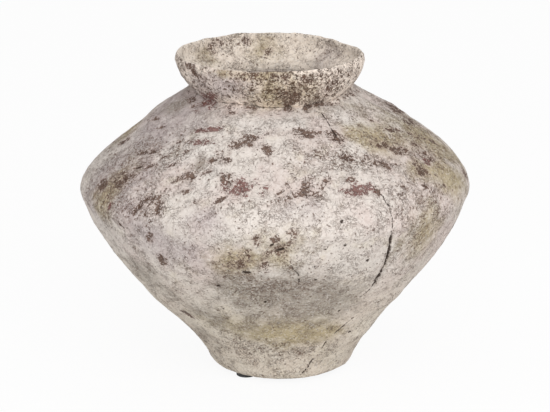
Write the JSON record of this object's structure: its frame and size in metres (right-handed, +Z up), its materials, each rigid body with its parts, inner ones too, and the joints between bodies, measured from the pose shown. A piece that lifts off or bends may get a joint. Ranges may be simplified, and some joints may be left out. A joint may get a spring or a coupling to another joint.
{
  "type": "earthenware storage jar",
  "caption": "Wide-bellied hand-built earthenware storage jar with a narrow foot, flared collar and open mouth, standing on rubber pads.",
  "frame": {"origin": "on the floor, under the jar's axis", "axes": "+Z up along the jar's axis, -Y towards the viewer of the picture, +X to the viewer's right"},
  "size_m": [0.43, 0.43, 0.359],
  "materials": {
    "earthenware": "coarse low-fired clay with a worn lime coat, matt",
    "pad_rubber": "matt black"
  },
  "bodies": {
    "root": {"base_disc": "earthenware", "foot_course": "earthenware", "lower_wall_course": "earthenware", "upper_wall_course": "earthenware", "belly_course": "earthenware", "lower_shoulder_course": "earthenware", "upper_shoulder_course": "earthenware", "neck_collar": "earthenware", "rim_lip": "earthenware", "foot_course_seam_coil": "earthenware", "lower_wall_course_seam_coil": "earthenware", "upper_wall_course_seam_coil": "earthenware", "belly_course_seam_coil": "earthenware", "lower_shoulder_course_seam_coil": "earthenware", "upper_shoulder_course_seam_coil": "earthenware", "floor_pad_1": "pad_rubber", "floor_pad_2": "pad_rubber", "floor_pad_3": "pad_rubber"}
  },
  "joints": []
}
